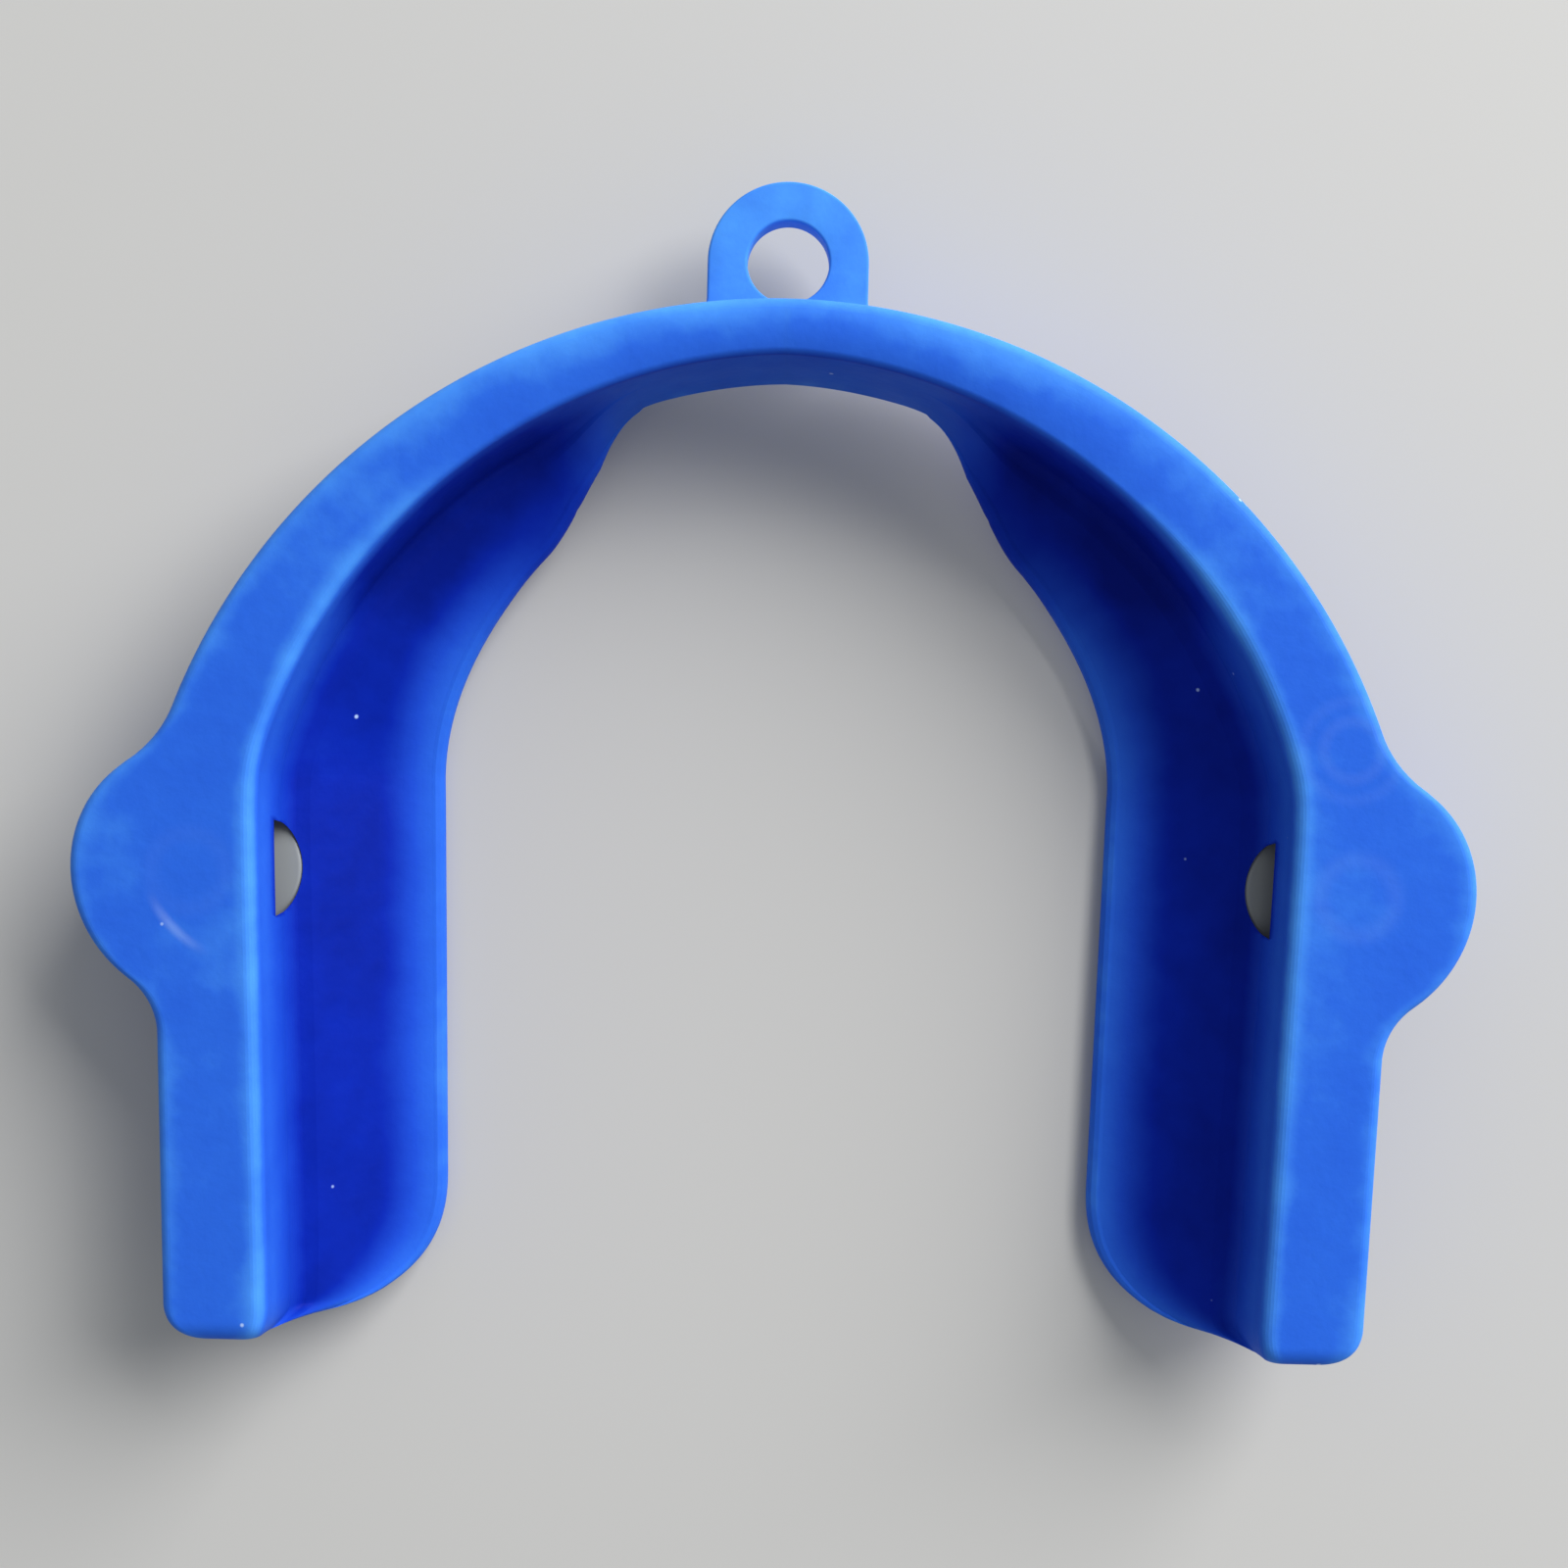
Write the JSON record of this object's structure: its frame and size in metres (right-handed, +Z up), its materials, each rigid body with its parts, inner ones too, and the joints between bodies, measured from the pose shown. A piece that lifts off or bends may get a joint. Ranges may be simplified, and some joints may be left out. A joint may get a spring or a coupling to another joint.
{
  "type": "cheek retractor",
  "caption": "C-shaped cheek retractor in blue elastomer: a flat rim with gutter wings inside both legs, round side bosses with small discs, and a hanging tab.",
  "frame": {"origin": "centre of the bounding box, at the surface that the wings rest on", "axes": "+Z up, out of the rim's flat face; +Y towards the bow and its hanging tab; +X to the right in that view"},
  "size_m": [0.0824, 0.07, 0.0105],
  "materials": {
    "blue_elastomer": "satin, slightly translucent moulded silicone",
    "grey_disc": "smooth satin"
  },
  "bodies": {
    "bow": {"front_bow": "blue_elastomer"},
    "left_side": {"left_arm": "blue_elastomer", "left_disc": "grey_disc"},
    "right_side": {"right_arm": "blue_elastomer", "right_disc": "grey_disc"},
    "tab": {"hang_tab": "blue_elastomer"}
  },
  "joints": [
    {"name": "left_arm_flex", "type": "hinge", "parent": "bow", "child": "left_side", "pos_m": [-0.01034, 0.02343, 0.00525], "axis": [0, 0, 1], "range_deg": [-10, 15], "stiffness_Nm_per_rad": 0.08},
    {"name": "right_arm_flex", "type": "hinge", "parent": "bow", "child": "right_side", "pos_m": [0.01034, 0.02343, 0.00525], "axis": [0, 0, -1], "range_deg": [-10, 15], "stiffness_Nm_per_rad": 0.08},
    {"name": "hang_tab_flex", "type": "hinge", "parent": "bow", "child": "tab", "pos_m": [0, 0.028, 0.0052], "axis": [1, 0, 0], "range_deg": [-40, 45], "stiffness_Nm_per_rad": 0.02}
  ]
}
